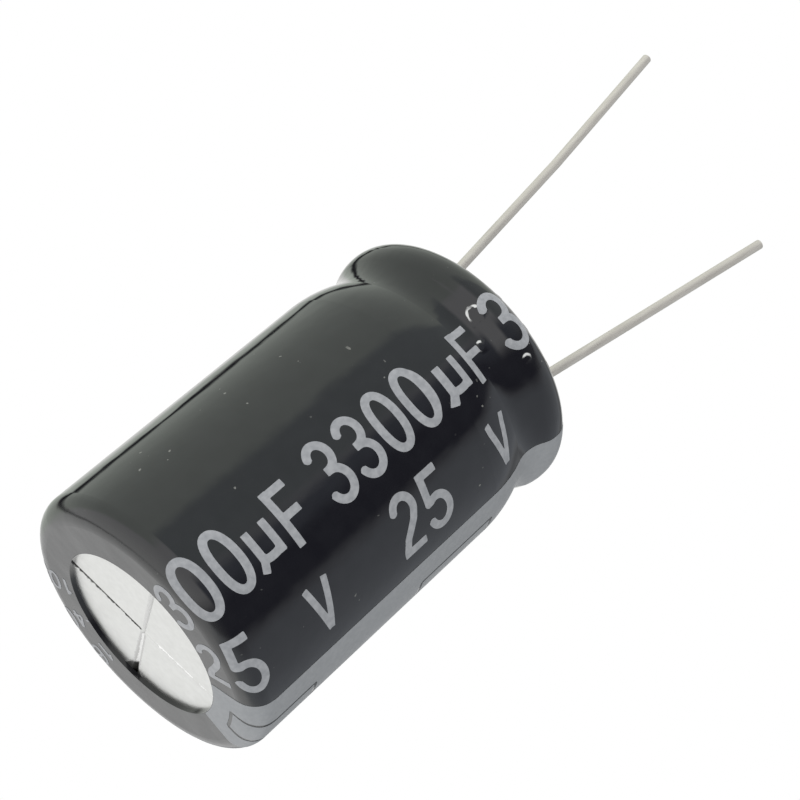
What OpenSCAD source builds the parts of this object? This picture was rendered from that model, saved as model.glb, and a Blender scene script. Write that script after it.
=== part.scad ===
// Radial electrolytic capacitor, standing on its vent end with the leads up.
// The origin is the centre of the vent end, +Z runs to the leads, +X points at the negative lead.

/* [Can] */
// Outer diameter of the aluminium can
can_d = 16; // [15:0.5:22]
// Overall length of the body, sleeve included
body_l = 25.5; // [22:0.5:40]
// Wall of the can
can_wall = 0.3; // [0.2:0.05:0.4]
// Thickness of the can's scored end
can_base = 0.4; // [0.3:0.05:0.6]
// Outer radius between the can's side and its scored end
can_corner_r = 1; // [0.6:0.1:1.6]

/* [Sleeve] */
// Wall of the shrunk sleeve on the side of the can
sleeve_wall = 0.2; // [0.1:0.02:0.3]
// Wall of the sleeve where it has shrunk inwards over the scored end
lip_wall = 0.26; // [0.12:0.02:0.4]
// Opening that the sleeve leaves in the middle of the scored end
window_d = 10.46; // [8:0.1:12]
// Height of the sleeve's rolled edge above the bung
sleeve_edge_up = 0.1; // [0.05:0.05:0.25]

/* [Bead and rim] */
// Depth of the bead below the side of the body
bead_depth = 0.6; // [0.3:0.02:0.7]
// Radius of the hollow of the bead
bead_r = 2.2; // [1.2:0.1:2.5]
// Radius of the body's shoulder, where it begins to slope into the bead
body_shoulder_r = 7.5; // [3:0.5:7.5]
// Radius of the rim's shoulder, where it begins to slope into the bead
rim_shoulder_r = 1.6; // [1:0.1:2]
// Length of the straight stretch between the rim's shoulder and its roll
rim_flat = 0.1; // [0.1:0.05:1]
// How much smaller the rim's radius is than the body's
rim_drop = 0.04; // [0:0.02:0.2]
// Radius of the rim's roll, measured on the sleeve
roll_r = 1.3; // [1:0.05:1.4]
// Angle that the can's edge curls inwards and bites into the bung
curl_angle = 200; // [170:5:215]

/* [Vent] */
// Width of each score where it meets the middle of the cross
score_w = 0.2; // [0.1:0.02:0.3]
// Width of each score at its outer end
score_end_w = 0.44; // [0.3:0.02:0.5]
// Length of each score from the middle of the cross
score_l = 5.8; // [4.5:0.1:6.2]

/* [Bung] */
// Thickness of the rubber bung
bung_t = 5; // [4:0.25:6.5]
// Depth of the bung's outer face below the top of the rim
bung_recess = 0.5; // [0.45:0.05:1]
// Chamfer round the bung's inner face
bung_chamfer = 0.4; // [0.1:0.1:0.8]
// Diameter of the countersink round each lead
countersink_d = 1.8; // [1.2:0.1:2.6]
// Gap between a lead and the narrow end of its hole
lead_gap = 0.05; // [0.02:0.01:0.1]

/* [Leads] */
// Distance between the two leads at the bung
lead_pitch = 7.5; // [6:0.25:8]
// Diameter of the lead wire
lead_d = 0.6; // [0.5:0.1:1]
// Length of the positive lead that stands straight out of the bung
positive_straight = 2.3; // [0.1:0.1:5]
// Length of the positive lead between its two bends
positive_lower_l = 12.8; // [8:0.1:20]
// Length of the positive lead beyond its second bend
positive_upper_l = 11.2; // [4:0.1:20]
// Angle by which the positive lead leans outwards
positive_lean = 6.3; // [0:0.1:15]
// Further angle of the positive lead's upper stretch
positive_curl = 1.5; // [0:0.1:6]
// Length of the negative lead that stands straight out of the bung
negative_straight = 0.1; // [0.1:0.1:5]
// Length of the negative lead's leaning stretch
negative_l = 20.4; // [8:0.1:30]
// Angle by which the negative lead leans outwards
negative_lean = 9.4; // [0:0.1:15]
// Radius of the bends in the leads
lead_bend_r = 4; // [2:0.5:8]

/* [Tabs] */
// Diameter of the round boss of each tab inside the bung
boss_d = 2.2; // [1.6:0.1:2.6]
// Depth of the boss's top below the bung's outer face
boss_depth = 1.3; // [1:0.1:2]
// Length of the boss below the bung
boss_tail = 0.5; // [0.3:0.1:0.8]
// Height of the tapered stretch between the boss and the flat paddle
taper_h = 1; // [0.6:0.1:1.4]
// Width of the flat paddle
paddle_w = 2.4; // [1.6:0.1:3]
// Thickness of the flat paddle
paddle_t = 0.22; // [0.15:0.01:0.3]
// Gap on each face of the paddle inside the winding
paddle_gap = 0.02; // [0.01:0.01:0.04]

/* [Winding] */
// Diameter of the hollow core of the winding
core_d = 3; // [2:0.2:4]
// Thickness of the etched anode foil
anode_t = 0.1; // [0.08:0.01:0.14]
// Thickness of the cathode foil
cathode_t = 0.05; // [0.03:0.01:0.08]
// Thickness of each paper separator
paper_t = 0.05; // [0.04:0.01:0.08]
// Gap between neighbouring layers
layer_gap = 0.01; // [0.008:0.002:0.02]
// How far the papers stand out beyond the foils at each end
paper_margin = 0.8; // [0.4:0.1:1.4]
// Gap between the winding and the scored end
floor_gap = 0.5; // [0.2:0.1:0.8]
// Gap between the winding and the bung
head_gap = 2.4; // [2:0.1:4]
// Least gap between the winding and the can's wall
wall_gap = 0.1; // [0.05:0.05:0.4]
// Thickness of the tape round the winding
tape_t = 0.05; // [0.03:0.01:0.1]
// Width of the tape
tape_h = 12; // [4:0.5:14]

/* [Hidden] */
$fn = 96;

// Body outline, in the half plane of radius and height. Neighbouring stretches cross by a hair
// instead of only touching, so that each outline has clean corners.
crossing = 0.0005;
body_r = can_d / 2 + sleeve_wall;
rim_r = body_r - rim_drop;
roll_c = [rim_r - roll_r, body_l - roll_r];
rim_shoulder_c = [rim_r - rim_shoulder_r + crossing, roll_c.y - rim_flat];
bead_c = [body_r - bead_depth + bead_r,
          rim_shoulder_c.y - slope_run(rim_shoulder_r + bead_r, bead_depth - rim_drop)];
body_shoulder_c = [body_r - body_shoulder_r + crossing,
                   bead_c.y - slope_run(body_shoulder_r + bead_r, bead_depth)];
bore_depth = sleeve_wall + can_wall;
bore_r = body_r - bore_depth;
floor_z = lip_wall + can_base;
beyond = 2;

// Bung and tabs
bung_z1 = body_l - bung_recess;
sleeve_roll = 180 - asin((bung_z1 + sleeve_edge_up - roll_c.y) / (roll_r - sleeve_wall));
bung_z0 = bung_z1 - bung_t;
boss_z1 = bung_z1 - boss_depth;
boss_z0 = bung_z0 - boss_tail;
lead_x = lead_pitch / 2;
lead_hole_d = lead_d + 2 * lead_gap;
countersink_h = countersink_d / 4;

// Winding: the layers outward from the core, each with its thickness
ANODE = 0;
INNER_PAPER = 1;
CATHODE = 2;
OUTER_PAPER = 3;
layer_t = [anode_t, paper_t, cathode_t, paper_t];
layer_off = [for (i = [0:3]) i == 0 ? 0 : sum_to(i)];
winding_pitch = sum_to(4);
step_y = winding_pitch / 2;
bulge = (paddle_t + 2 * paddle_gap) / cos(asin(paddle_w / lead_pitch));
winding_z0 = floor_z + floor_gap;
winding_h = bung_z0 - head_gap - winding_z0;
foil_z0 = winding_z0 + paper_margin;
foil_h = winding_h - 2 * paper_margin;
turns = floor((bore_r - wall_gap - tape_t - layer_gap - norm([bulge, step_y]) - step_y - core_d / 2)
              / winding_pitch);
positive_turn = round((lead_x - paddle_t / 2 - paddle_gap - anode_t - step_y - core_d / 2) / winding_pitch);
negative_turn = round((lead_x - paddle_t / 2 - paddle_gap - layer_off[CATHODE] - cathode_t - core_d / 2)
                      / winding_pitch);

function sum_to(i) = i == 0 ? 0 : layer_t[i - 1] + layer_gap + sum_to(i - 1);

// Length of a slope that drops by depth over two arcs that touch, whose radii add up to radii
function slope_run(radii, depth) = sqrt(depth * (2 * radii - depth));

// Inner radius of a layer on the negative side of the winding, for a given turn
function layer_r(layer, turn) = core_d / 2 + turn * winding_pitch + layer_off[layer];

// The layers that lie outside a paddle are pushed out by the bulge
function positive_shift(layer, turn) =
    turn > positive_turn || (turn == positive_turn && layer > ANODE) ? bulge : 0;
function negative_shift(layer, turn) =
    turn > negative_turn || (turn == negative_turn && layer > CATHODE) ? bulge : 0;

// The hollow of the bead, for a surface that lies t below the sleeve's outer face
module bead_2d(t) {
    outside = bead_c.x + beyond;
    difference() {
        union() {
            polygon([
                [outside, body_shoulder_c.y],
                body_shoulder_c,
                bead_c,
                rim_shoulder_c,
                [outside, rim_shoulder_c.y]
            ]);
            translate(bead_c) circle(bead_r + t);
        }
        translate(body_shoulder_c) circle(body_shoulder_r - t);
        translate(rim_shoulder_c) circle(rim_shoulder_r - t);
    }
}

// Everything inside the surface that lies t below the sleeve, from z0 up to the rim's roll
module body_2d(t, z0, corner) {
    difference() {
        union() {
            translate([0, z0]) square([body_r - t - corner, bead_c.y - z0]);
            translate([0, z0 + corner]) square([body_r - t, bead_c.y - z0 - corner]);
            translate([body_r - t - corner, z0 + corner]) circle(corner);
            translate([0, body_shoulder_c.y]) square([rim_r - t, roll_c.y - body_shoulder_c.y]);
        }
        bead_2d(t);
        translate([-beyond * 2, z0]) square([beyond * 2, body_l]);
    }
}

module sleeve_inside_2d() {
    body_2d(sleeve_wall, lip_wall, can_corner_r);
}

module bore_2d() {
    body_2d(bore_depth, floor_z, can_corner_r - can_wall);
}

// A rolled edge, from straight out to the given angle
module roll_2d(outer, wall, angle) {
    translate(roll_c) intersection() {
        difference() {
            circle(outer);
            circle(outer - wall);
        }
        polygon([
            [0, 0],
            [outer * beyond, 0],
            outer * beyond * [1, 1],
            outer * beyond * [0, 1],
            outer * beyond * [cos((angle + 90) / 2), sin((angle + 90) / 2)],
            outer * beyond * [cos(angle), sin(angle)]
        ]);
    }
}

module sleeve() color([0.13, 0.14, 0.14]) rotate_extrude() {
    difference() {
        body_2d(0, 0, can_corner_r + sleeve_wall);
        sleeve_inside_2d();
        translate([-beyond, -beyond]) square([window_d / 2 + beyond, 2 * beyond]);
    }
    roll_2d(roll_r, sleeve_wall, sleeve_roll);
}

module can() color([0.86, 0.87, 0.86]) difference() {
    rotate_extrude() {
        difference() {
            sleeve_inside_2d();
            bore_2d();
        }
        roll_2d(roll_r - sleeve_wall, can_wall, curl_angle);
    }
    for (a = [0:90:270]) rotate(a) score();
}

// One arm of the cross, a V that widens towards the side; the arms cross each other in the middle
module score() {
    tilt = atan((score_end_w - score_w) / 2 / score_l);
    translate([0, 0, lip_wall + score_w / 2]) rotate([0, -tilt, 0]) rotate([90, 0, 90])
        translate([0, 0, -score_w]) linear_extrude(score_l + score_w)
            polygon([[0, 0], [-beyond, -beyond], [beyond, -beyond]]);
}

module bung() color([0.09, 0.09, 0.1]) difference() {
    rotate_extrude() difference() {
        union() {
            intersection() {
                bore_2d();
                translate([0, bung_z0]) square([body_r, bung_t]);
            }
            translate([0, bung_z0]) square([roll_c.x, bung_t]);
            translate(roll_c) circle(roll_r - bore_depth);
        }
        roll_2d(roll_r - sleeve_wall, can_wall, curl_angle);
        translate([bore_r, bung_z0]) rotate(45) square(bung_chamfer * sqrt(2), center = true);
    }
    for (side = [-1, 1]) translate([side * lead_x, 0, 0]) {
        translate([0, 0, bung_z0 - beyond]) cylinder(d = boss_d, h = boss_z1 - bung_z0 + beyond);
        translate([0, 0, bung_z0]) cylinder(d = lead_hole_d, h = bung_t + beyond);
        translate([0, 0, bung_z1 - countersink_h])
            cylinder(d1 = lead_hole_d, d2 = countersink_d, h = countersink_h);
    }
}

// A wire that starts upwards; each bend turns it further outwards
module wire(lengths, bends, i = 0) {
    cylinder(d = lead_d, h = lengths[i]);
    if (i < len(bends)) translate([0, 0, lengths[i]]) {
        translate([lead_bend_r, 0, 0]) rotate([90, 0, 180]) rotate_extrude(angle = bends[i])
            translate([lead_bend_r, 0]) circle(d = lead_d);
        translate(lead_bend_r * [1 - cos(bends[i]), 0, sin(bends[i])]) rotate([0, bends[i], 0])
            wire(lengths, bends, i + 1);
    }
}

module positive_lead() color([0.74, 0.74, 0.71]) mirror([1, 0, 0]) translate([lead_x, 0, boss_z1])
    wire([boss_depth + positive_straight, positive_lower_l, positive_upper_l],
         [positive_lean, positive_curl]);

module negative_lead() color([0.74, 0.74, 0.71]) translate([lead_x, 0, boss_z1])
    wire([boss_depth + negative_straight, negative_l], [negative_lean]);

// A tab on the +X side, with its paddle against a layer whose outer radius and centre are given
module tab(paddle_r, centre_y) {
    paddle_x = paddle_r + paddle_t / 2;
    translate([lead_x, 0, boss_z0]) cylinder(d = boss_d, h = boss_z1 - boss_z0);
    intersection() {
        translate([lead_x, 0, boss_z0 - taper_h]) cylinder(d = boss_d, h = taper_h);
        rotate([90, 0, 0]) linear_extrude(boss_d, center = true) polygon([
            [lead_x - boss_d / 2, boss_z0],
            [lead_x + boss_d / 2, boss_z0],
            [paddle_x + paddle_t / 2, boss_z0 - taper_h],
            [paddle_x - paddle_t / 2, boss_z0 - taper_h]
        ]);
    }
    translate([0, centre_y, foil_z0]) linear_extrude(boss_z0 - taper_h / 2 - foil_z0) intersection() {
        difference() {
            circle(paddle_r + paddle_t);
            circle(paddle_r);
        }
        translate([0, -paddle_w / 2 - centre_y]) square([body_r, paddle_w]);
    }
}

module positive_tab() color([0.8, 0.81, 0.82]) mirror([1, 0, 0])
    tab(layer_r(ANODE, positive_turn) + step_y + anode_t + paddle_gap, step_y);

module negative_tab() color([0.8, 0.81, 0.82])
    tab(layer_r(CATHODE, negative_turn) + cathode_t + paddle_gap, 0);

// Half a ring on one side of the line x = shift; side is 1 for +X and -1 for -X
module half_ring(r, t, shift, centre_y, side) {
    translate([side * shift, centre_y]) intersection() {
        difference() {
            circle(r + t);
            circle(r);
        }
        translate([side > 0 ? 0 : -r - beyond, -r - beyond]) square([r + beyond, 2 * (r + beyond)]);
    }
}

// A straight stretch between two half rings, from x0 to x1, with its inner face at y
module bridge(x0, x1, y, t) {
    if (x1 > x0) translate([x0, y]) square([x1 - x0, t]);
}

// One layer wound from the core outwards, in half turns about two centres
module layer_2d(layer) {
    t = layer_t[layer];
    for (turn = [0:turns - 1]) {
        r = layer_r(layer, turn);
        p = positive_shift(layer, turn);
        n = negative_shift(layer, turn);
        half_ring(r, t, n, 0, 1);
        bridge(-p, n, -r - t, t);
        half_ring(r + step_y, t, p, step_y, -1);
        if (turn < turns - 1) bridge(-p, negative_shift(layer, turn + 1), r + winding_pitch, t);
    }
}

module foil(layer) translate([0, 0, foil_z0]) linear_extrude(foil_h) layer_2d(layer);

module separator(layer) translate([0, 0, winding_z0]) linear_extrude(winding_h) layer_2d(layer);

module anode_foil() color([0.62, 0.63, 0.64]) foil(ANODE);

module cathode_foil() color([0.76, 0.77, 0.78]) foil(CATHODE);

module inner_separator() color([0.83, 0.78, 0.66]) separator(INNER_PAPER);

module outer_separator() color([0.83, 0.78, 0.66]) separator(OUTER_PAPER);

module winding_tape() color([0.85, 0.72, 0.4]) {
    r = layer_r(ANODE, turns) + step_y;
    translate([0, 0, winding_z0 + (winding_h - tape_h) / 2]) linear_extrude(tape_h) {
        half_ring(r, tape_t, bulge, step_y, 1);
        half_ring(r, tape_t, bulge, step_y, -1);
        bridge(-bulge, bulge, step_y + r, tape_t);
        bridge(-bulge, bulge, step_y - r - tape_t, tape_t);
    }
}

sleeve();
can();
bung();
positive_lead();
negative_lead();
positive_tab();
negative_tab();
anode_foil();
cathode_foil();
inner_separator();
outer_separator();
winding_tape();
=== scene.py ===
import math
import bpy
import numpy as np
from mathutils import Matrix, Vector


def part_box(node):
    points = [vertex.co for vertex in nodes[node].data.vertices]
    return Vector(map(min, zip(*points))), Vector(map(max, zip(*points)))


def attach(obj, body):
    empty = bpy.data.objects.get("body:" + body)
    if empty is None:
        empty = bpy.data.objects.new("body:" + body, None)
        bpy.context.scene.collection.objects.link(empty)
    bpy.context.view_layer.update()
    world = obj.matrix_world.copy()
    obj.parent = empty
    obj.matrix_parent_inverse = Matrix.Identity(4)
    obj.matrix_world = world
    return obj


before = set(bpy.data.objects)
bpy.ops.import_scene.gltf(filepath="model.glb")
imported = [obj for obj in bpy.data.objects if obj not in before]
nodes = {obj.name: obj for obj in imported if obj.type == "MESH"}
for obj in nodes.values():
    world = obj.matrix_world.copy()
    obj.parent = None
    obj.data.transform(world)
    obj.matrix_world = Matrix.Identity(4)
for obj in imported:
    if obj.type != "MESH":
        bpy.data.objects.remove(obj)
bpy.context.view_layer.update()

# Sizes are in millimetres and angles in degrees, and objects are made in metres
MM = 0.001
TINY = 1e-9

# Camera, where the photo was taken from
CAMERA_AT = (24.638, -98.817, -35.963)
CAMERA_TARGET = (1.961, -8.968, 15.505)
CAMERA_UP = (-0.6538, -0.4936, 0.5736)
CAMERA_LENS = 93.15
CAMERA_SHIFT = (-0.0007, 0.00086)
CAMERA_NEAR = 1
CAMERA_FAR = 10000

# Outer outline of the sleeve, as the CAD has it
sleeve_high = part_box("sleeve")[1]
BODY_R = sleeve_high.x / MM
LENGTH = sleeve_high.z / MM
WINDOW_R = 5.23
CORNER_R = 1.2
BEAD_DEPTH = 0.6
BEAD_R = 2.2
BODY_SHOULDER_R = 7.5
RIM_SHOULDER_R = 1.6
RIM_FLAT = 0.1
RIM_DROP = 0.04
ROLL_R = 1.3
ROLL_ANGLE = 125
OUTLINE_STEP = 0.05

# Print: it repeats along the sleeve, also where the sleeve has shrunk over the two ends. In each
# row u runs along the sleeve's outline, by its height on the straight side, and v up the letters,
# round the can. A row's base line has an angle from +X, and the letters' tops point to smaller ones.
REPEAT = 14.0
ARC_MM = BODY_R * math.pi / 180
RATING_BASE = -61.9
NUMBER_AT = (9.45, 0.03)
MICRO_AT = 18.1
FARAD_AT = 20.39
VOLTAGE_BASE = -27.8
VOLTS_AT = (11.6, -0.09)
VOLT_SIGN_AT = 19.2
STRIPE_MIDDLE = 0.0
STRIPE_W = 5.45
MINUS_AT = (15.68, -0.28)
MINUS_HALF = (2.85, 0.94)
MINUS_CORNER = 0.12
MINUS_LINE = 0.22
SMALL_SCALE = 0.45
# Rows of small print: name, angle of the base line, text and where it starts
SMALL_ROWS = [
    ("small_print_high", 115, "16×25", -2.2),
    ("small_print_middle", 136, "-40°C", -2.9),
    ("small_print_low", 160, "105°C", -2.3),
]

# Film of ink: heights of its top and foot above the sleeve, least distance of its outline from a
# point of the grid, margins of the grid, size of its cells, and angle from which an edge is sharp
INK_LIFT = 0.014
INK_FOOT = 0.002
INK_SNAP = 0.002
INK_MARGIN = 0.1
END_MARGIN = 0.03
TEXT_CELL = 0.06
SMALL_CELL = 0.05
STRIPE_CELL = 0.1
SHARP_FROM = 40

# Where the sleeve has shrunk inwards over the vent end it has pulled the print round with it:
# distances along the outline between which that fades, and turns at some angles
DRAG_FADE = (-0.5, 1.6)
DRAG_ANGLES = (-61, -2, 17, 40)
DRAG_TURNS = (0, 5.8, 1.5, 0)
# It has also pulled the print along at the bead: by how much at some heights, and how much of that
# at some angles, the rating's and the voltage's
PULL_HEIGHTS = (17.6, 18.4, 21.8, 23.4)
PULL_BY = (0, 0.4, 0.35, 0)
PULL_ANGLES = (-60, -45)
PULL_SHARES = (1, 0.25)


# Outline of the sleeve

def arc(centre, radius, start, stop):
    count = max(2, int(abs(math.radians(stop - start)) * radius / OUTLINE_STEP) + 1)
    turn = np.radians(np.linspace(start, stop, count))
    return np.stack([centre[0] + radius * np.cos(turn), centre[1] + radius * np.sin(turn)], 1)


def slope(radii, depth):
    """Length and steepest angle of a slope over two touching arcs, whose radii add up to radii."""
    run = math.sqrt(depth * (2 * radii - depth))
    return run, math.degrees(math.asin(run / radii))


def sleeve_outline():
    """Points (radius, height) from the window's edge to the end of the roll over the rim."""
    rim_r = BODY_R - RIM_DROP
    roll = (rim_r - ROLL_R, LENGTH - ROLL_R)
    rim = (rim_r - RIM_SHOULDER_R, roll[1] - RIM_FLAT)
    rim_run, rim_angle = slope(RIM_SHOULDER_R + BEAD_R, BEAD_DEPTH - RIM_DROP)
    bead = (BODY_R - BEAD_DEPTH + BEAD_R, rim[1] - rim_run)
    body_run, body_angle = slope(BODY_SHOULDER_R + BEAD_R, BEAD_DEPTH)
    shoulder = (BODY_R - BODY_SHOULDER_R, bead[1] - body_run)
    return np.concatenate([
        np.array([[WINDOW_R, 0.0]]),
        arc((BODY_R - CORNER_R, CORNER_R), CORNER_R, -90, 0),
        arc(shoulder, BODY_SHOULDER_R, 0, body_angle),
        arc(bead, BEAD_R, 180 + body_angle, 180 - rim_angle),
        arc(rim, RIM_SHOULDER_R, -rim_angle, 0),
        arc(roll, ROLL_R, 0, ROLL_ANGLE),
    ])


class Wrap:
    """The sleeve's surface by distance along its outline, which equals the height on the straight side."""

    def __init__(self):
        points = sleeve_outline()
        steps = np.hypot(*np.diff(points, axis=0).T)
        along = np.concatenate([[0], np.cumsum(steps)])
        side = np.flatnonzero(np.abs(points[:, 0] - BODY_R) < TINY)[0]
        along += points[side, 1] - along[side]
        self.start = along[0] + END_MARGIN
        self.stop = along[-1]
        self.s = np.arange(along[0], along[-1], OUTLINE_STEP / 2)
        self.r = np.interp(self.s, along, points[:, 0])
        self.z = np.interp(self.s, along, points[:, 1])
        tangent = np.stack([np.gradient(self.r), np.gradient(self.z)])
        tangent /= np.hypot(*tangent)
        self.out_r = tangent[1]
        self.out_z = -tangent[0]

    def place(self, s, angle, lift):
        """Points in metres, at distances s along the outline and angles in degrees, raised by lift."""
        s = s + np.interp(s, PULL_HEIGHTS, PULL_BY) * np.interp(angle, PULL_ANGLES, PULL_SHARES)
        r = np.interp(s, self.s, self.r) + lift * np.interp(s, self.s, self.out_r)
        z = np.interp(s, self.s, self.z) + lift * np.interp(s, self.s, self.out_z)
        drag = np.interp(angle, DRAG_ANGLES, DRAG_TURNS) * np.interp(s, DRAG_FADE, (1, 0))
        turn = np.radians(angle - drag)
        return np.stack([r * np.cos(turn), r * np.sin(turn), z], -1) * MM


wrap = Wrap()


# Strokes of the print: each glyph is a list of paths in its own box, u to the right and v up

# Degrees between the points of a bow
BOW_STEP = 9


def line(*points):
    return np.array(points, float)


def bow(cu, cv, ru, rv, start, stop, squareness=2.0):
    """Points of part of an oval; squareness above 2 makes its sides straighter."""
    turn = np.radians(np.linspace(start, stop, max(4, int(abs(stop - start) / BOW_STEP))))
    c = np.cos(turn)
    s = np.sin(turn)
    power = 2 / squareness
    return np.stack([
        cu + ru * np.sign(c) * np.abs(c) ** power,
        cv + rv * np.sign(s) * np.abs(s) ** power,
    ], 1)


def joined(*paths):
    return np.concatenate(paths)


# Digits and signs: height of their boxes, step from one to the next, and width of the strokes
DIGIT_H = 3.75
DIGIT_STEP = 2.18
STROKE = 0.48
HALF = STROKE / 2
DIGITS = {
    "0": [bow(0.93, 1.875, 0.69, 1.635, 0, 360, 2.3)],
    "1": [line((0.35, 2.75), (0.75, 2.95), (1.05, 3.6)), line((1.05, DIGIT_H), (1.05, 0))],
    "2": [
        joined(bow(0.93, 2.72, 0.67, 0.79, 172, -22), line((1.32, 1.95), (0.55, 1.05), (0.3, 0.4))),
        line((0.05, HALF), (1.72, HALF)),
    ],
    "3": [
        bow(0.88, 2.75, 0.63, 0.76, 165, -90),
        bow(0.9, 1.1, 0.72, 0.86, 90, -165),
        line((0.62, 1.97), (0.95, 1.97)),
    ],
    "4": [line((1.25, 0), (1.25, 3.4)), line((1.25, 3.4), (0.2, 1.1)), line((0.1, 0.98), (1.8, 0.98))],
    "5": [
        line((1.62, 3.51), (0.2, 3.51)),
        joined(line((0.44, 3.6), (0.31, 1.93)), bow(0.9, 1.15, 0.74, 0.91, 118, -165)),
    ],
    "6": [
        bow(0.93, 1.15, 0.69, 0.91, 0, 360),
        joined(bow(1.05, 1.8, 0.8, 1.71, 58, 180), line((0.25, 1.1))),
    ],
    "×": [line((0.2, 0.8), (1.7, 2.3)), line((0.2, 2.3), (1.7, 0.8))],
    "-": [line((0.25, 1.7), (1.65, 1.7))],
    "°": [bow(0.8, 3.05, 0.46, 0.46, 0, 360)],
    "C": [bow(0.93, 1.875, 0.69, 1.635, 45, 315, 2.3)],
}
UNIT_STROKE = 0.45
MICRO = [
    line((0.36, 2.41), (0.36, 0.72), (0.04, 0.13)),
    bow(0.945, 1.08, 0.585, 0.42, 180, 360, 3),
    line((1.53, 2.41), (1.53, 0.45)),
]
FARAD = [line((0.22, 0), (0.22, 3.36)), line((0.1, 3.11), (1.56, 3.11)), line((0.1, 1.68), (1.41, 1.68))]
VOLT_STROKE = 0.4
VOLT = [line((0.08, 3.02), (0.78, 0.05)), line((1.46, 3.02), (0.78, 0.05))]


def stroke_distance(u, v, path, half):
    """How far points lie outside a path of the given half width, with flat ends and round joins."""
    best = np.full(u.shape, np.inf)
    for (au, av), (bu, bv) in zip(path[:-1], path[1:]):
        length = math.hypot(bu - au, bv - av)
        if length < TINY:
            continue
        du = (bu - au) / length
        dv = (bv - av) / length
        mid_u = u - (au + bu) / 2
        mid_v = v - (av + bv) / 2
        beyond_end = np.abs(mid_u * du + mid_v * dv) - length / 2
        beyond_side = np.abs(mid_v * du - mid_u * dv) - half
        outside = np.hypot(np.maximum(beyond_end, 0), np.maximum(beyond_side, 0))
        best = np.minimum(best, outside + np.minimum(np.maximum(beyond_end, beyond_side), 0))
    for pu, pv in path[1:-1]:
        best = np.minimum(best, np.hypot(u - pu, v - pv) - half)
    if np.allclose(path[0], path[-1]):
        best = np.minimum(best, np.hypot(u - path[0][0], v - path[0][1]) - half)
    return best


def glyph_distance(u, v, paths, width):
    return np.minimum.reduce([stroke_distance(u, v, path, width / 2) for path in paths])


def text_distance(u, v, text, scale=1.0):
    found = [glyph_distance(u / scale - i * DIGIT_STEP, v / scale, DIGITS[c], STROKE)
             for i, c in enumerate(text)]
    return np.minimum.reduce(found) * scale


def repeated(u, v, drawn):
    """The nearest copy of a drawing that repeats along u."""
    return np.minimum.reduce([drawn(u - k * REPEAT, v) for k in (-1, 0, 1)])


def rating(u, v):
    number = text_distance(u - NUMBER_AT[0], v - NUMBER_AT[1], "3300")
    micro = glyph_distance(u - MICRO_AT, v, MICRO, UNIT_STROKE)
    farad = glyph_distance(u - FARAD_AT, v, FARAD, UNIT_STROKE)
    return np.minimum.reduce([number, micro, farad])


def voltage(u, v):
    number = text_distance(u - VOLTS_AT[0], v - VOLTS_AT[1], "25")
    unit = glyph_distance(u - VOLT_SIGN_AT, v, VOLT, VOLT_STROKE)
    return np.minimum(number, unit)


def minus_outline(u, v):
    """The line that draws a minus sign on the stripe, round a box with small round corners."""
    du = np.abs(u - MINUS_AT[0]) - MINUS_HALF[0] + MINUS_CORNER
    dv = np.abs(v - MINUS_AT[1]) - MINUS_HALF[1] + MINUS_CORNER
    outside = np.hypot(np.maximum(du, 0), np.maximum(dv, 0)) - MINUS_CORNER
    box = outside + np.minimum(np.maximum(du, dv), 0)
    return np.abs(box) - MINUS_LINE / 2


def stripe(u, v):
    edge = np.abs(v) - STRIPE_W / 2
    return np.maximum(edge, -repeated(u, v, minus_outline))


# Films of ink on the sleeve

def grid(low, high, cell):
    return np.linspace(low, high, int((high - low) / cell) + 1)


def snapped(d):
    """Keeps the outline off the points and the ends of the grid, where it would leave slivers."""
    d[[0, -1], :] = np.maximum(d[[0, -1], :], INK_SNAP)
    d[np.abs(d) < INK_SNAP] = INK_SNAP
    return d


def cut_faces(us, vs, d):
    """Corners (u, v) and faces of the part of a grid where d is below zero."""
    keys = {}
    corners = []

    def corner(key, u, v):
        if key not in keys:
            keys[key] = len(corners)
            corners.append((u, v))
        return keys[key]

    def crossing(a, b):
        share = d[a] / (d[a] - d[b])
        u = us[a[0]] + share * (us[b[0]] - us[a[0]])
        v = vs[a[1]] + share * (vs[b[1]] - vs[a[1]])
        return corner((min(a, b), max(a, b)), u, v)

    faces = []
    inside = d < 0
    touched = inside[:-1, :-1] | inside[1:, :-1] | inside[1:, 1:] | inside[:-1, 1:]
    for i, j in np.argwhere(touched):
        ring = [(i, j), (i + 1, j), (i + 1, j + 1), (i, j + 1)]
        face = []
        for a, b in zip(ring, ring[1:] + ring[:1]):
            if inside[a]:
                face.append(corner(a, us[a[0]], vs[a[1]]))
            if inside[a] != inside[b]:
                face.append(crossing(a, b))
        faces.append(face)
    return np.array(corners), faces


def closed_film(name, top, foot, faces):
    """A mesh of two copies of the same faces, one above the other, with walls round their borders."""
    count = len(top)
    edges = {(a, b) for f in faces for a, b in zip(f, f[1:] + f[:1])}
    walls = [(b, a, a + count, b + count) for a, b in sorted(edges) if (b, a) not in edges]
    under = [[i + count for i in reversed(f)] for f in faces]
    mesh = bpy.data.meshes.new(name)
    mesh.from_pydata(np.concatenate([top, foot]).tolist(), [], faces + under + walls)
    mesh.update()
    turned_in = np.array(mesh.polygons[0].normal) @ (top[faces[0][0]] - foot[faces[0][0]]) < 0
    if turned_in:
        mesh.flip_normals()
    mesh.polygons.foreach_set("use_smooth", [True] * len(mesh.polygons))
    mesh.set_sharp_from_angle(angle=math.radians(SHARP_FROM))
    return mesh


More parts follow.
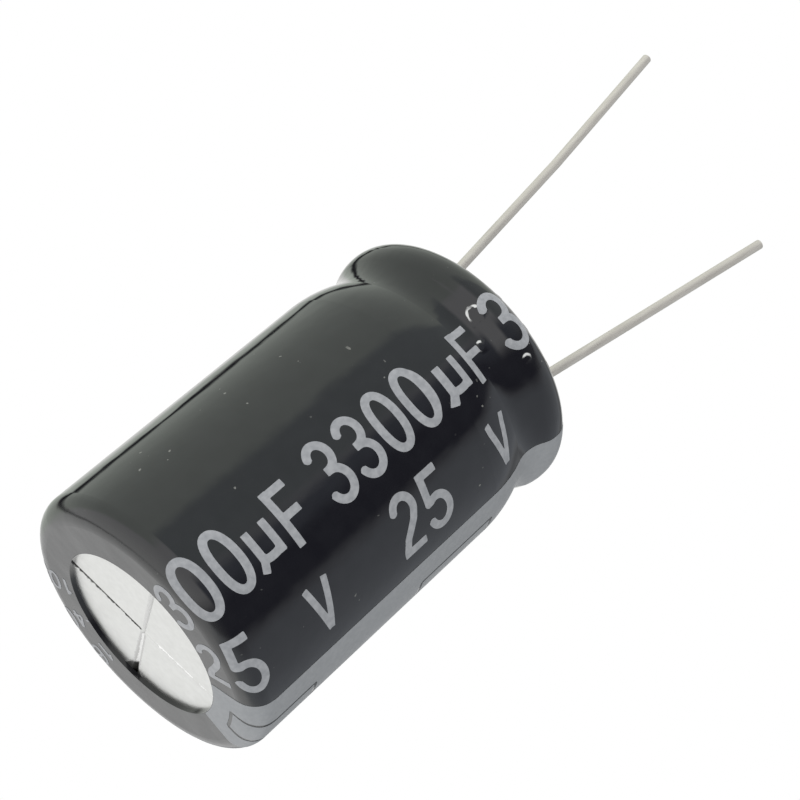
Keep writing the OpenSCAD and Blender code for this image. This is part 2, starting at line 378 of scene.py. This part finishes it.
def ink_piece(name, base_angle, low_v, high_v, cell, distance, material):
    """A thin closed film of ink wherever distance(u, v) is below zero, wrapped on the sleeve."""
    us = grid(wrap.start, wrap.stop, cell)
    vs = grid(low_v - INK_MARGIN, high_v + INK_MARGIN, cell)
    u, v = np.meshgrid(us, vs, indexing="ij")
    flat, faces = cut_faces(us, vs, snapped(distance(u, v)))
    angles = base_angle - flat[:, 1] / ARC_MM
    top = wrap.place(flat[:, 0], angles, INK_LIFT)
    foot = wrap.place(flat[:, 0], angles, INK_FOOT)
    mesh = closed_film(name, top, foot, faces)
    mesh.materials.append(material)
    piece = bpy.data.objects.new(name, mesh)
    bpy.context.scene.collection.objects.link(piece)
    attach(piece, "root")


# Nodes for materials. These helpers take sockets and give back sockets

def new_material(name):
    material = bpy.data.materials.new(name)
    material.use_nodes = True
    tree = material.node_tree
    return material, tree, tree.nodes["Principled BSDF"]


def object_noise(tree, scale, detail, stretch=(1, 1, 1)):
    """Noise in object space; scale is in features per metre."""
    where = tree.nodes.new("ShaderNodeTexCoord")
    mapping = tree.nodes.new("ShaderNodeMapping")
    mapping.inputs["Scale"].default_value = stretch
    noise = tree.nodes.new("ShaderNodeTexNoise")
    noise.inputs["Scale"].default_value = scale
    noise.inputs["Detail"].default_value = detail
    tree.links.new(where.outputs["Object"], mapping.inputs["Vector"])
    tree.links.new(mapping.outputs["Vector"], noise.inputs["Vector"])
    return noise.outputs["Fac"]


def ramp(tree, value, stops, ends):
    """From the first end, where value is at the first stop, to the second; an end is a colour or a grey."""
    node = tree.nodes.new("ShaderNodeValToRGB")
    for element, stop, end in zip(node.color_ramp.elements, stops, ends):
        element.position = stop
        element.color = (*end, 1) if isinstance(end, tuple) else (end, end, end, 1)
    tree.links.new(value, node.inputs["Fac"])
    return node.outputs["Color"]


def bump(tree, shader, layers):
    """Chains bumps from (height, distance in millimetres, strength)."""
    normal = None
    for height, distance, strength in layers:
        node = tree.nodes.new("ShaderNodeBump")
        node.inputs["Distance"].default_value = distance * MM
        node.inputs["Strength"].default_value = strength
        tree.links.new(height, node.inputs["Height"])
        if normal is not None:
            tree.links.new(normal, node.inputs["Normal"])
        normal = node.outputs["Normal"]
    tree.links.new(normal, shader.inputs["Normal"])


def math_node(tree, operation, a, b=None, c=None):
    """A Math node whose inputs are numbers or sockets."""
    node = tree.nodes.new("ShaderNodeMath")
    node.operation = operation
    for i, value in enumerate((a, b, c)):
        if isinstance(value, (int, float)):
            node.inputs[i].default_value = value
        elif value is not None:
            tree.links.new(value, node.inputs[i])
    return node.outputs["Value"]


def smooth(tree, value, low, high):
    """0 below low and 1 above high, or the other way round where low is above high."""
    node = tree.nodes.new("ShaderNodeMapRange")
    node.interpolation_type = "SMOOTHSTEP"
    node.inputs["From Min"].default_value = low
    node.inputs["From Max"].default_value = high
    tree.links.new(value, node.inputs["Value"])
    return node.outputs["Result"]


def position(tree):
    """x, y and z in object space, in metres."""
    where = tree.nodes.new("ShaderNodeTexCoord")
    parts = tree.nodes.new("ShaderNodeSeparateXYZ")
    tree.links.new(where.outputs["Object"], parts.inputs["Vector"])
    return parts.outputs["X"], parts.outputs["Y"], parts.outputs["Z"]


def radius(tree):
    """Distance from the capacitor's axis, in metres."""
    x, y, z = position(tree)
    squares = math_node(tree, "MULTIPLY_ADD", x, x, math_node(tree, "MULTIPLY", y, y))
    return math_node(tree, "SQRT", squares)


def distance_to(tree, point):
    """Distance from a point in object space, in metres."""
    where = tree.nodes.new("ShaderNodeTexCoord")
    away = tree.nodes.new("ShaderNodeVectorMath")
    away.operation = "DISTANCE"
    away.inputs[1].default_value = [v * MM for v in point]
    tree.links.new(where.outputs["Object"], away.inputs[0])
    return away.outputs["Value"]


def mixed(tree, share, a, b):
    """A colour between a and b, each a colour or a socket."""
    node = tree.nodes.new("ShaderNodeMix")
    node.data_type = "RGBA"
    tree.links.new(share, node.inputs["Factor"])
    for name, value in (("A", a), ("B", b)):
        socket = next(i for i in node.inputs if i.name == name and i.type == "RGBA")
        if isinstance(value, tuple):
            socket.default_value = (*value, 1)
        else:
            tree.links.new(value, socket)
    return next(o for o in node.outputs if o.type == "RGBA")


# Values of noise between which a stuff goes from its first tone or gloss to its second
STOPS = (0.3, 0.7)
FILM_TONE_STOPS = (0.35, 0.65)
FILM_GLOSS_STOPS = (0.3, 0.75)

# Film of the sleeve: its tones and gloss, its haze where it has shrunk over the ends, and dust
FILM_IOR = 1.65
FILM_TONES = ((0.0062, 0.0063, 0.0084), (0.0085, 0.0087, 0.011))
FILM_ROUGH = (0.04, 0.1)
LIP_HAZE = (0.03, 0.031, 0.031)
LIP_HAZE_HEIGHTS = (0.05, 0.9)
LIP_EDGE = 0.1
LIP_ROUGHER = 0.12
RIM_HAZE = (0.024, 0.0245, 0.0245)
RIM_HAZE_FROM = 23.6
DUST = (0.16, 0.16, 0.15)
DUST_SPECKS = (0.75, 0.79)
DUST_PATCHES = (0.5, 0.62)
# Unevenness of the film, from slow waves to grain: features per metre, stretch, height and strength
FILM_WAVES = [
    (130, (1, 1, 0.45), 0.4, 0.3),
    (480, (1, 1, 0.7), 0.06, 0.6),
    (5000, (1, 1, 1), 0.01, 0.06),
]
# Small folds that the film has in the bead's hollow, each with a pale painted glint: middle, reach and
# height
FOLDS = [
    ((0.75, -7.9, 23.2), 0.9, 0.05),
    ((2.25, -7.3, 22.3), 0.55, 0.04),
    ((4.25, -6.9, 23.9), 0.5, 0.03),
]
# In shares of the reach: how ragged a fold is, where it falls off, and where its painted glint runs
FOLD_RAGGED = 0.7
FOLD_EDGE = (1.2, 0.5)
FOLD_GLINT_RUNS = 0.85
# A painted glint's half width, which side of the fold's middle it keeps to, and how noise breaks it up
FOLD_GLINT_HALF_W = (0.09, 0.04)
FOLD_GLINT_SIDE = (0.2, -0.1)
FOLD_GLINT_BREAKS = (0.42, 0.5)
# Pale colour painted as the folds' glints
FOLD_GLINT = (0.62, 0.63, 0.62)


def fold_distances(tree):
    """Distance from the middle of each fold, made ragged, in metres."""
    uneven = object_noise(tree, 1500, 2)
    return [math_node(tree, "MULTIPLY_ADD", uneven, FOLD_RAGGED * reach * MM, distance_to(tree, middle))
            for middle, reach, rise in FOLDS]


def fold_height(tree, distances):
    """Height of the folds, in millimetres."""
    height = 0.0
    for (middle, reach, rise), away in zip(FOLDS, distances):
        fold = smooth(tree, away, FOLD_EDGE[0] * reach * MM, FOLD_EDGE[1] * reach * MM)
        height = math_node(tree, "MULTIPLY_ADD", fold, rise, height)
    return height


def fold_glints(tree, distances):
    """1 along the painted glints of the folds."""
    x = position(tree)[0]
    broken = object_noise(tree, 1100, 1, (1, 0.6, 1.6))
    glints = 0.0
    for (middle, reach, rise), away in zip(FOLDS, distances):
        beside = math_node(tree, "ABSOLUTE", math_node(tree, "SUBTRACT", away, FOLD_GLINT_RUNS * reach * MM))
        glint = smooth(tree, beside, FOLD_GLINT_HALF_W[0] * MM, FOLD_GLINT_HALF_W[1] * MM)
        one_side = smooth(tree, x, (middle[0] + FOLD_GLINT_SIDE[0]) * MM, (middle[0] + FOLD_GLINT_SIDE[1]) * MM)
        glints = math_node(tree, "MAXIMUM", glints, math_node(tree, "MULTIPLY", glint, one_side))
    return math_node(tree, "MULTIPLY", glints, smooth(tree, broken, *FOLD_GLINT_BREAKS))


def film_bump(tree, shader, distances):
    """Waves and grain of the shrunk film, and its folds."""
    layers = [(object_noise(tree, scale, 2, stretch), height, strength)
              for scale, stretch, height, strength in FILM_WAVES]
    bump(tree, shader, layers + [(fold_height(tree, distances), 1.0, 1.0)])


def dust(tree):
    """1 on a few specks, which lie in patches."""
    specks = smooth(tree, object_noise(tree, 2600, 1), *DUST_SPECKS)
    patches = smooth(tree, object_noise(tree, 260, 1), *DUST_PATCHES)
    return math_node(tree, "MULTIPLY", specks, patches)


def sleeve_material():
    """Glossy dark film with a faint mottle, paler and duller where it has shrunk over the ends, with painted
    glints on the folds in the bead's hollow.
    """
    material, tree, shader = new_material("sleeve_film")
    shader.inputs["IOR"].default_value = FILM_IOR
    z = position(tree)[2]
    low = smooth(tree, z, LIP_HAZE_HEIGHTS[1] * MM, LIP_HAZE_HEIGHTS[0] * MM)
    outside_window = smooth(tree, radius(tree), WINDOW_R * MM, (WINDOW_R + LIP_EDGE) * MM)
    lip = math_node(tree, "MULTIPLY", low, outside_window)
    rim = smooth(tree, z, RIM_HAZE_FROM * MM, LENGTH * MM)
    distances = fold_distances(tree)
    colour = ramp(tree, object_noise(tree, 900, 4), FILM_TONE_STOPS, FILM_TONES)
    colour = mixed(tree, lip, colour, LIP_HAZE)
    colour = mixed(tree, rim, colour, RIM_HAZE)
    colour = mixed(tree, dust(tree), colour, DUST)
    # Painted glints along the folds in the bead's hollow
    colour = mixed(tree, fold_glints(tree, distances), colour, FOLD_GLINT)
    tree.links.new(colour, shader.inputs["Base Color"])
    rough = ramp(tree, object_noise(tree, 450, 5), FILM_GLOSS_STOPS, FILM_ROUGH)
    rough = math_node(tree, "MULTIPLY_ADD", lip, LIP_ROUGHER, rough)
    tree.links.new(rough, shader.inputs["Roughness"])
    film_bump(tree, shader, distances)
    return material


INK_IOR = 1.5


def ink_material(name, tones, roughness, gloss):
    """Satin ink with a slight mottle, on the film's waves."""
    material, tree, shader = new_material(name)
    shader.inputs["IOR"].default_value = INK_IOR
    shader.inputs["Specular IOR Level"].default_value = gloss
    colour = ramp(tree, object_noise(tree, 3200, 4), FILM_TONE_STOPS, tones)
    rough = ramp(tree, object_noise(tree, 450, 5), FILM_GLOSS_STOPS, roughness)
    tree.links.new(colour, shader.inputs["Base Color"])
    tree.links.new(rough, shader.inputs["Roughness"])
    film_bump(tree, shader, fold_distances(tree))
    return material


# Metals and matt stuffs. Grain is in features per metre, and its depth in millimetres

def metal_material(name, tones, roughness, grain, depth, stretch=(1, 1, 1), metallic=1.0):
    """Metal with cloudy gloss and a fine grain, which stretch can draw out along an axis."""
    material, tree, shader = new_material(name)
    shader.inputs["Metallic"].default_value = metallic
    colour = ramp(tree, object_noise(tree, grain, 5, stretch), STOPS, tones)
    rough = ramp(tree, object_noise(tree, grain * 0.3, 4), STOPS, roughness)
    tree.links.new(colour, shader.inputs["Base Color"])
    tree.links.new(rough, shader.inputs["Roughness"])
    bump(tree, shader, [(object_noise(tree, grain * 3, 3, stretch), depth, 0.2)])
    return material


def matt_material(name, tones, roughness, grain, depth, stretch=(1, 1, 1)):
    """A matt stuff whose tone, gloss and height follow one noise."""
    material, tree, shader = new_material(name)
    noise = object_noise(tree, grain, 5, stretch)
    colour = ramp(tree, noise, STOPS, tones)
    rough = ramp(tree, noise, STOPS, roughness)
    tree.links.new(colour, shader.inputs["Base Color"])
    tree.links.new(rough, shader.inputs["Roughness"])
    bump(tree, shader, [(noise, depth, 0.3)])
    return material


# Painted shade and highlights along the arms of the vent's cross, which end between these heights.
# Each arm: axis along and axis across, its side, where it starts, its width at the middle and at the lip,
# and its colour
END_HEIGHTS = (0.5, 0.6)
SCORE_RAGGED = 0.16
SCORE_PAINTED_LIGHT = [
    # -X arm: painted shade down its groove
    ("x", "y", -1, 0.1, 0.2, 0.34, (0.03, 0.03, 0.028)),
    # +X arm: a painted highlight on its groove's wall
    ("x", "y", 1, 0.8, 0.2, 0.2, (0.98, 0.98, 0.97)),
    # +Y arm: a grey painted shade
    ("y", "x", 1, 0.1, 0.4, 0.62, (0.52, 0.52, 0.51)),
    # +Y arm: a painted highlight down its middle
    ("y", "x", 1, 0.3, 0.16, 0.2, (0.86, 0.86, 0.85)),
    # -Y arm: a faint grey painted shade
    ("y", "x", -1, 0.1, 0.3, 0.3, (0.66, 0.66, 0.65)),
]
SCORE_FADE_IN = 0.2
SCORE_EDGE = (1.15, 0.75)
# Painted shadow at the outer end of the +Y arm, where its groove meets the lip: a wedge that opens towards
# the lip
SCORE_END_SHADOW = (0.03, 0.03, 0.028)
SCORE_END_SHADOW_ASIDE = 0.12
SCORE_END_SHADOW_FROM = 4.15
SCORE_END_SHADOW_FADE_IN = 0.3
SCORE_END_SHADOW_HALF_W = 0.2
SCORE_END_SHADOW_TAPER = 0.5


def painted_score_share(tree, along, across, side, start, width, end_width):
    """1 inside one arm of the cross, whose middle line runs along one axis to the given side, where shade or
    a highlight is painted.
    """
    far = math_node(tree, "MULTIPLY", along, side)
    beyond_start = smooth(tree, far, start * MM, (start + SCORE_FADE_IN) * MM)
    half = tree.nodes.new("ShaderNodeMapRange")
    half.inputs["From Max"].default_value = WINDOW_R * MM
    half.inputs["To Min"].default_value = width / 2 * MM
    half.inputs["To Max"].default_value = end_width / 2 * MM
    tree.links.new(far, half.inputs["Value"])
    away = math_node(tree, "ABSOLUTE", across)
    share = math_node(tree, "DIVIDE", away, half.outputs["Result"])
    return math_node(tree, "MULTIPLY", beyond_start, smooth(tree, share, *SCORE_EDGE))


def score_end_shadow_share(tree, x, y):
    """1 on the end of the +Y arm, where a shadow is painted."""
    beside = math_node(tree, "ABSOLUTE", math_node(tree, "ADD", x, SCORE_END_SHADOW_ASIDE * MM))
    outside = math_node(tree, "MULTIPLY_ADD", y, -SCORE_END_SHADOW_TAPER, beside)
    clear = (SCORE_END_SHADOW_HALF_W - SCORE_END_SHADOW_TAPER * SCORE_END_SHADOW_FROM) * MM
    full = -SCORE_END_SHADOW_TAPER * SCORE_END_SHADOW_FROM * MM
    near_lip = smooth(tree, y, SCORE_END_SHADOW_FROM * MM, (SCORE_END_SHADOW_FROM + SCORE_END_SHADOW_FADE_IN) * MM)
    return math_node(tree, "MULTIPLY", smooth(tree, outside, clear, full), near_lip)


def can_material():
    """Drawn aluminium; the scores of the vent end carry painted shade and painted highlights, and a painted
    shadow where the +Y score meets the lip.
    """
    tones = ((0.72, 0.725, 0.705), (0.77, 0.775, 0.755))
    material = metal_material("drawn_aluminium", tones, (0.28, 0.38),
                              grain=2500, depth=0.0025, stretch=(1, 1, 0.2))
    tree = material.node_tree
    shader = tree.nodes["Principled BSDF"]
    x, y, z = position(tree)
    on_end = smooth(tree, z, END_HEIGHTS[1] * MM, END_HEIGHTS[0] * MM)
    ragged = object_noise(tree, 5000, 2)
    shift = math_node(tree, "MULTIPLY_ADD", ragged, SCORE_RAGGED * MM, -SCORE_RAGGED / 2 * MM)
    axes = {"x": math_node(tree, "ADD", x, shift), "y": math_node(tree, "ADD", y, shift)}
    marks = []
    for along, across, side, start, width, end_width, tone in SCORE_PAINTED_LIGHT:
        marks.append((painted_score_share(tree, axes[along], axes[across], side, start, width, end_width), tone))
    # The painted shadow where the +Y arm meets the lip
    marks.append((score_end_shadow_share(tree, axes["x"], axes["y"]), SCORE_END_SHADOW))
    colour = shader.inputs["Base Color"].links[0].from_socket
    marked = 0.0
    # Mixes the painted shade, highlights and shadow into the metal's colour, which is not metallic there
    for share, tone in marks:
        share = math_node(tree, "MULTIPLY", share, on_end)
        colour = mixed(tree, share, colour, tone)
        marked = math_node(tree, "MAXIMUM", share, marked)
    tree.links.new(colour, shader.inputs["Base Color"])
    tree.links.new(math_node(tree, "SUBTRACT", 1, marked), shader.inputs["Metallic"])
    return material


text_ink = ink_material("text_ink", ((0.26, 0.27, 0.285), (0.33, 0.34, 0.355)), (0.3, 0.4), 0.4)
stripe_ink = ink_material("stripe_ink", ((0.258, 0.27, 0.282), (0.284, 0.296, 0.308)), (0.38, 0.48), 0.3)
tin = metal_material("tinned_wire", ((0.55, 0.525, 0.48), (0.64, 0.615, 0.565)), (0.45, 0.57),
                     grain=3500, depth=0.006, stretch=(1, 1, 0.08), metallic=0.45)
tab_metal = metal_material("tab_aluminium", ((0.62, 0.63, 0.64), (0.76, 0.77, 0.78)), (0.3, 0.45),
                           grain=3000, depth=0.004, stretch=(1, 1, 0.15))
etched = metal_material("etched_foil", ((0.4, 0.41, 0.42), (0.52, 0.53, 0.54)), (0.55, 0.7),
                        grain=6000, depth=0.003)
plain_foil = metal_material("cathode_foil_metal", ((0.6, 0.61, 0.62), (0.72, 0.73, 0.74)), (0.42, 0.57),
                            grain=5000, depth=0.003)
rubber = matt_material("bung_rubber", ((0.012, 0.012, 0.013), (0.024, 0.024, 0.025)), (0.62, 0.72),
                       grain=3500, depth=0.02)
paper = matt_material("damp_paper", ((0.66, 0.58, 0.42), (0.78, 0.71, 0.55)), (0.75, 0.85),
                      grain=4000, depth=0.01, stretch=(1, 1, 0.3))
tape = matt_material("film_tape", ((0.72, 0.56, 0.24), (0.82, 0.66, 0.32)), (0.35, 0.45),
                     grain=900, depth=0.004)

NODE_MATERIALS = {
    "sleeve": sleeve_material(),
    "can": can_material(),
    "bung": rubber,
    "positive_lead": tin,
    "negative_lead": tin,
    "positive_tab": tab_metal,
    "negative_tab": tab_metal,
    "anode_foil": etched,
    "cathode_foil": plain_foil,
    "inner_separator": paper,
    "outer_separator": paper,
    "winding_tape": tape,
}


def dress_nodes():
    """Gives each CAD node its material."""
    for name, material in NODE_MATERIALS.items():
        mesh = nodes[name].data
        mesh.materials.clear()
        mesh.materials.append(material)


def text_piece(name, base_angle, scale, cell, drawn):
    """A row of text that repeats along the sleeve."""
    ink_piece(name, base_angle, 0, DIGIT_H * scale, cell, lambda u, v: repeated(u, v, drawn), text_ink)


def print_sleeve():
    """All the print: three small rows, the rating, the voltage and the stripe."""
    for name, base_angle, text, start in SMALL_ROWS:
        text_piece(name, base_angle, SMALL_SCALE, SMALL_CELL,
                   lambda u, v: text_distance(u - start, v, text, SMALL_SCALE))
    text_piece("rating_print", RATING_BASE, 1.0, TEXT_CELL, rating)
    text_piece("voltage_print", VOLTAGE_BASE, 1.0, TEXT_CELL, voltage)
    ink_piece("polarity_stripe", STRIPE_MIDDLE, -STRIPE_W / 2, STRIPE_W / 2, STRIPE_CELL, stripe, stripe_ink)


# Studio

WHITE = (1.0, 1.0, 1.0)
AMBIENT = 0.8
# What gloss sees round the object: azimuth of the middle, half width, lowest and highest
# elevation, softness of the edges, and colour of each panel in front of the white surroundings.
# A highest elevation beyond 90 leaves a panel without a top edge
NO_TOP = 120
PANELS = [
    (-180, 62, -20, NO_TOP, 5, (0.79, 0.85, 0.77)),
    (-101.5, 23.5, 15, NO_TOP, 6, (0.475, 0.52, 0.515)),
    (12.5, 37.5, -70, NO_TOP, 12, (0.49, 0.52, 0.56)),
    (-59, 18, -5, NO_TOP, 8, (0.22, 0.24, 0.28)),
    (-40, 18.5, -70, NO_TOP, 10, (0.06, 0.06, 0.08)),
    (78, 32, 5, NO_TOP, 6, (0.3, 0.31, 0.32)),
    (104, 24, 20, NO_TOP, 5, (1, 1, 0.98)),
    (144, 3.5, -82, 60, 2.5, (0.02, 0.02, 0.02)),
]
# Lamps for diffuse surfaces: name, place, size and power in watts
LAMPS = [
    ("key", (-60, -110, 90), 90, 0.10),
    ("low", (40, -60, -110), 90, 0.05),
]
FLOOR_SIZE = 1600
FLOOR_DROP = 0.05
FLOOR_FADE = (60, 330)
FLOOR_TONE = (0.86, 0.86, 0.86)
FLOOR_ROUGH = 0.9


def panel_cover(tree, azimuth, elevation, middle, half_width, low, high, softness):
    """1 where a direction meets the panel, with soft edges."""
    soft = math.radians(softness)
    half = math.radians(half_width)
    away = math_node(tree, "SUBTRACT", azimuth, math.radians(middle))
    away = math_node(tree, "ABSOLUTE", math_node(tree, "WRAP", away, math.pi, -math.pi))
    beside = smooth(tree, away, half + soft, half - soft)
    above = smooth(tree, elevation, math.radians(low) - soft, math.radians(low) + soft)
    below = smooth(tree, elevation, math.radians(high) + soft, math.radians(high) - soft)
    return math_node(tree, "MULTIPLY", beside, math_node(tree, "MULTIPLY", above, below))


def studio_world():
    """White for the camera, panels for gloss, and even soft light for the rest."""
    world = bpy.data.worlds.new("studio")
    bpy.context.scene.world = world
    world.use_nodes = True
    tree = world.node_tree
    tree.nodes.clear()
    where = tree.nodes.new("ShaderNodeTexCoord")
    parts = tree.nodes.new("ShaderNodeSeparateXYZ")
    tree.links.new(where.outputs["Generated"], parts.inputs["Vector"])
    azimuth = math_node(tree, "ARCTAN2", parts.outputs["Y"], parts.outputs["X"])
    elevation = math_node(tree, "ARCSINE", parts.outputs["Z"])
    colour = WHITE
    for middle, half_width, low, high, softness, panel in PANELS:
        cover = panel_cover(tree, azimuth, elevation, middle, half_width, low, high, softness)
        colour = mixed(tree, cover, colour, panel)
    path = tree.nodes.new("ShaderNodeLightPath")
    seen = math_node(tree, "MAXIMUM", path.outputs["Is Camera Ray"], path.outputs["Is Transmission Ray"])
    colour = mixed(tree, path.outputs["Is Glossy Ray"], (AMBIENT,) * 3, colour)
    colour = mixed(tree, seen, colour, WHITE)
    background = tree.nodes.new("ShaderNodeBackground")
    output = tree.nodes.new("ShaderNodeOutputWorld")
    tree.links.new(colour, background.inputs["Color"])
    tree.links.new(background.outputs["Background"], output.inputs["Surface"])


def studio_lamp(name, at, size, power):
    """A square lamp that points at the middle of the object and lights only diffuse surfaces."""
    data = bpy.data.lights.new(name, "AREA")
    data.size = size * MM
    data.energy = power
    lamp = bpy.data.objects.new(name, data)
    bpy.context.scene.collection.objects.link(lamp)
    place = Vector(at) * MM
    middle = Vector((0, 0, LENGTH / 2)) * MM
    lamp.location = place
    lamp.rotation_mode = "QUATERNION"
    lamp.rotation_quaternion = (middle - place).to_track_quat("-Z", "Y")
    lamp.visible_glossy = False
    lamp.visible_camera = False


def floor_material():
    """A pale matt floor that is clear from below and far away."""
    material, tree, shader = new_material("floor")
    shader.inputs["Base Color"].default_value = (*FLOOR_TONE, 1)
    shader.inputs["Roughness"].default_value = FLOOR_ROUGH
    clear = tree.nodes.new("ShaderNodeBsdfTransparent")
    geometry = tree.nodes.new("ShaderNodeNewGeometry")
    mix = tree.nodes.new("ShaderNodeMixShader")
    far = smooth(tree, distance_to(tree, (0, 0, 0)), FLOOR_FADE[0] * MM, FLOOR_FADE[1] * MM)
    hidden = math_node(tree, "MAXIMUM", far, geometry.outputs["Backfacing"])
    tree.links.new(hidden, mix.inputs["Fac"])
    tree.links.new(shader.outputs["BSDF"], mix.inputs[1])
    tree.links.new(clear.outputs["BSDF"], mix.inputs[2])
    tree.links.new(mix.outputs["Shader"], tree.nodes["Material Output"].inputs["Surface"])
    return material


def studio_floor():
    """A floor, seen only from above, that fades into the white surroundings."""
    half = FLOOR_SIZE / 2 * MM
    z = -FLOOR_DROP * MM
    mesh = bpy.data.meshes.new("floor")
    corners = [(-half, -half, z), (half, -half, z), (half, half, z), (-half, half, z)]
    mesh.from_pydata(corners, [], [(0, 1, 2, 3)])
    mesh.materials.append(floor_material())
    floor = bpy.data.objects.new("floor", mesh)
    bpy.context.scene.collection.objects.link(floor)
    floor.visible_shadow = False
    floor.visible_diffuse = False
    floor.visible_glossy = False
    floor.visible_transmission = False


def photo_camera():
    """The camera at the photo's place, with the photo's framing."""
    data = bpy.data.cameras.new("camera")
    camera = bpy.data.objects.new("camera", data)
    bpy.context.scene.collection.objects.link(camera)
    at = Vector(CAMERA_AT) * MM
    back = (at - Vector(CAMERA_TARGET) * MM).normalized()
    right = Vector(CAMERA_UP).cross(back).normalized()
    up = back.cross(right)
    turn = Matrix((right, up, back)).transposed()
    camera.matrix_world = Matrix.Translation(at) @ turn.to_4x4()
    data.lens = CAMERA_LENS
    data.shift_x, data.shift_y = CAMERA_SHIFT
    data.clip_start = CAMERA_NEAR * MM
    data.clip_end = CAMERA_FAR * MM
    bpy.context.scene.camera = camera


dress_nodes()
print_sleeve()
studio_world()
studio_floor()
photo_camera()
for lamp in LAMPS:
    studio_lamp(*lamp)
bpy.context.scene.view_settings.view_transform = "Standard"
